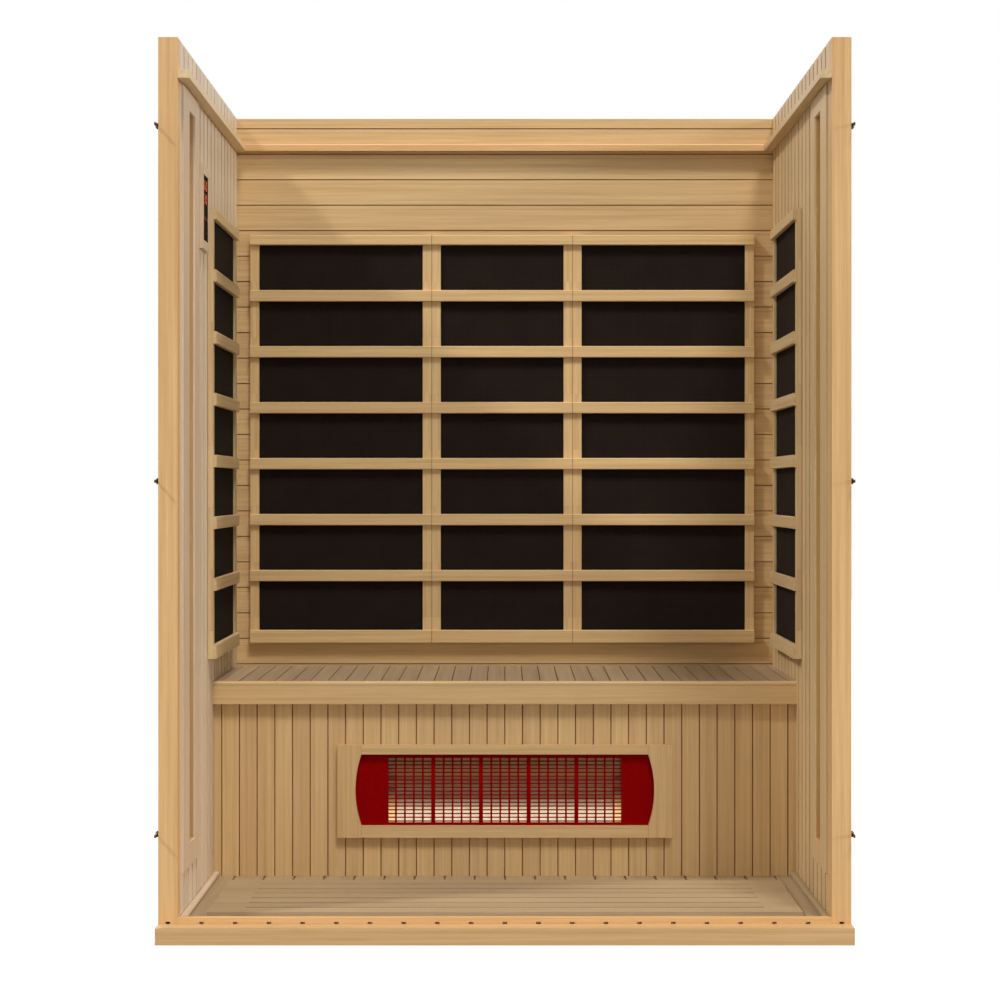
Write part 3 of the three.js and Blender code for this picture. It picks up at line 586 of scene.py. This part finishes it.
# Left strip: painted sheen; right strip: the floor's painted shade.
for name, sign, tones in (("left", -1, SHEEN_PAINTED_TRIM_WOOD), ("right", 1, SHADE_PAINTED_FLOOR_WOOD)):
    strip_wood = hemlock(f"hemlock {name} skirting", *tones, grain=1, spread=0.03)
    ends = sorted((sign * WALL_FACE, sign * (WALL_FACE - STRIP_WIDTH)))
    strip = bar(f"{name}_skirting", (ends[0], -0.530, 0.0373), (ends[1], 0.0697, 0.0493), 0.003, 3)
    finish_piece(strip, strip_wood, "cabin")

# %% [markdown]
# ## The control's display
# On the dark face two rows of seven-segment figures glow red. A segment is a flat six-sided bar, and a
# figure is a choice of the seven places. The figures are plain numbers for degrees and minutes.

# %% Display
def glow(name, colour, strength):
    material, tree = blank(name)
    coord = add(tree, "TexCoord").outputs["Object"]
    uneven = add(tree, "TexNoise", {"Scale": 1 / 0.004}, {"Vector": coord})
    level = add(tree, "MapRange", {"To Min": strength * 0.8, "To Max": strength * 1.1},
                {"Value": uneven.outputs[0]})
    lamp = add(tree, "BsdfPrincipled", {"Base Color": linear(colour), "Emission Color": linear(colour),
                                        "Roughness": 0.4}, {"Emission Strength": level.outputs[0]})
    close(tree, lamp)
    return material


red_light = glow("red display light", "#e4501e", 1.0)
dim_light = glow("dim red symbol light", "#8c1a1c", 0.6)
face_low, face_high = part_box("control_face")
FACE = face_high.x
FACE_MIDDLE = (face_low.y + face_high.y) / 2
FIGURES = {"6": "acdefg", "0": "abcdef", "3": "abcdg"}
SEGMENTS = {"a": (0, 1, 0), "b": (0.5, 0.5, 1), "c": (0.5, -0.5, 1), "d": (0, -1, 0),
            "e": (-0.5, -0.5, 1), "f": (-0.5, 0.5, 1), "g": (0, 0, 0)}
SEGMENT_WIDTH = 0.0022
FIGURE_HEIGHT = 0.020
FIGURE_HALF_STEP = 0.013
FACE_LEVEL = 1.6345


def segment(centre, length, upright):
    bpy.ops.object.select_all(action="DESELECT")
    bpy.ops.mesh.primitive_circle_add(vertices=6, radius=0.5, fill_type="NGON", location=centre,
                                      rotation=(math.radians(90), 0, math.radians(90)))
    piece = bpy.context.object
    piece.scale = (SEGMENT_WIDTH, length, 1) if upright else (length, SEGMENT_WIDTH, 1)
    piece = settle("segment")
    bpy.ops.object.mode_set(mode="EDIT")
    bpy.ops.mesh.select_all(action="SELECT")
    bpy.ops.mesh.extrude_region_move(TRANSFORM_OT_translate={"value": (0.0003, 0, 0)})
    bpy.ops.mesh.select_all(action="SELECT")
    bpy.ops.mesh.normals_make_consistent(inside=False)
    bpy.ops.object.mode_set(mode="OBJECT")
    return piece


def figure(sign, centre, height):
    made = []
    for key in FIGURES[sign]:
        along, up, upright = SEGMENTS[key]
        spot = Vector(centre) + Vector((0, along * height * 0.5, up * height * 0.5))
        made.append(segment(spot, height * 0.44, upright))
    return made


lit = []
for row, signs in ((0.053, "60"), (0.022, "30")):
    for column, sign in zip((-FIGURE_HALF_STEP, FIGURE_HALF_STEP), signs):
        lit += figure(sign, (FACE + 0.0001, FACE_MIDDLE + column, FACE_LEVEL + row), FIGURE_HEIGHT)
display = merge(lit, "control_display_figures")
finish_piece(display, red_light, "cabin")

# %% [markdown]
# ## Symbols on the buttons
# Each button carries a small raised sign: a ring with a bar for power, a ring over a short bar for the lamp,
# and minus and plus. They ride with their button, so they move when it is pressed.

# %% Button symbols
def ring(centre, radius):
    bpy.ops.object.select_all(action="DESELECT")
    bpy.ops.mesh.primitive_torus_add(major_radius=radius, minor_radius=0.0005, major_segments=24,
                                     minor_segments=6, location=centre, rotation=(0, math.radians(90), 0))
    return settle("ring")


def mark(centre, wide, tall):
    half = Vector((0.0003, wide / 2, tall / 2))
    return bar("mark", Vector(centre) - half, Vector(centre) + half, 0.0002, 1)


for key in ("power", "light", "minus", "plus"):
    low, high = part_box(f"{key}_button")
    centre = Vector((high.x, (low.y + high.y) / 2, (low.z + high.z) / 2))
    if key == "power":
        made = [ring(centre, 0.0036), mark(centre + Vector((0, 0, 0.0034)), 0.001, 0.004)]
    elif key == "light":
        made = [ring(centre + Vector((0, 0, 0.001)), 0.0028),
                mark(centre - Vector((0, 0, 0.0034)), 0.003, 0.0012)]
    elif key == "minus":
        made = [mark(centre, 0.007, 0.0012)]
    else:
        made = [mark(centre, 0.007, 0.0012), mark(centre, 0.0012, 0.007)]
    symbol = merge(made, f"{key}_symbol")
    finish_piece(symbol, dim_light, f"{key}_key")

# %% [markdown]
# ## Studio
# The photograph has a white ground. A large pale floor takes the cabin's soft shadow, and to the camera, to
# mirrors and through glass it looks white, as does the world behind it. The floor itself is a middle grey, so
# that it doesn't throw more light up into the room than the photograph shows.

# %% Floor and world
def looks_white(tree):
    rays = add(tree, "LightPath").outputs
    seen = add(tree, "Math", {"operation": "ADD"}, {0: rays["Is Camera Ray"], 1: rays["Is Glossy Ray"]})
    through = add(tree, "Math", {"operation": "ADD", "use_clamp": True},
                  {0: seen.outputs[0], 1: rays["Is Transmission Ray"]})
    return through.outputs[0]


bpy.ops.object.select_all(action="DESELECT")
bpy.ops.mesh.primitive_plane_add(size=30, location=(0, 0, 0))
floor = settle("studio_floor")
material, tree = blank("white studio floor")
paint = add(tree, "BsdfDiffuse", {"Color": linear("#a3a3a1")})
share = add(tree, "Math", {"operation": "MULTIPLY", 1: 0.78}, {0: looks_white(tree)})
white = add(tree, "Emission", links={"Strength": share.outputs[0]})
both = add(tree, "AddShader", links={0: paint.outputs[0], 1: white.outputs[0]})
close(tree, both)
floor.data.materials.append(material)

world = bpy.data.worlds.new("white studio")
bpy.context.scene.world = world
world.use_nodes = True
tree = world.node_tree
tree.nodes.clear()
SKY = 0.30
strength = add(tree, "MapRange", {"To Min": SKY, "To Max": 1.0}, {"Value": looks_white(tree)})
sky = add(tree, "Background", {"Color": (1, 1, 1, 1)}, {"Strength": strength.outputs[0]})
add(tree, "OutputWorld", links={0: sky.outputs[0]})
print("floor", floor.name, "sky", SKY)

# %% [markdown]
# ## Lamps
# The edges of the shadows tell where the light comes from. The left wall's top edge draws a slope across
# the back wall, so one lamp stands high on the left in front. The right wall's edge draws a steep one, so a
# second stands high in front, a little to the right. The left wall is evenly bright, so a third stands low
# on the right. They are far away, which a sun lamp does best; its angle is how wide it looks from the room,
# and a wider one has softer shadow edges. A weak lamp behind keeps the back readable.

# %% Lamps
def far_lamp(name, travel, power, angle):
    bpy.ops.object.select_all(action="DESELECT")
    place = Vector(travel).normalized() * -6
    bpy.ops.object.light_add(type="SUN", location=place)
    light = bpy.context.object
    light.name = name
    light.data.energy = power
    light.data.angle = math.radians(angle)
    light.rotation_euler = Vector(travel).to_track_quat("-Z", "Y").to_euler()


far_lamp("high_left_lamp", (0.9, 0.42, -1.0), 1.75, 5)
far_lamp("overhead_front_lamp", (-0.2, 0.5, -1.0), 2.05, 14)
far_lamp("right_front_lamp", (-1.0, 0.38, -0.22), 1.15, 10)
far_lamp("weak_back_lamp", (0.25, -1.0, -0.6), 0.6, 20)
bpy.context.scene.view_settings.view_transform = "Standard"
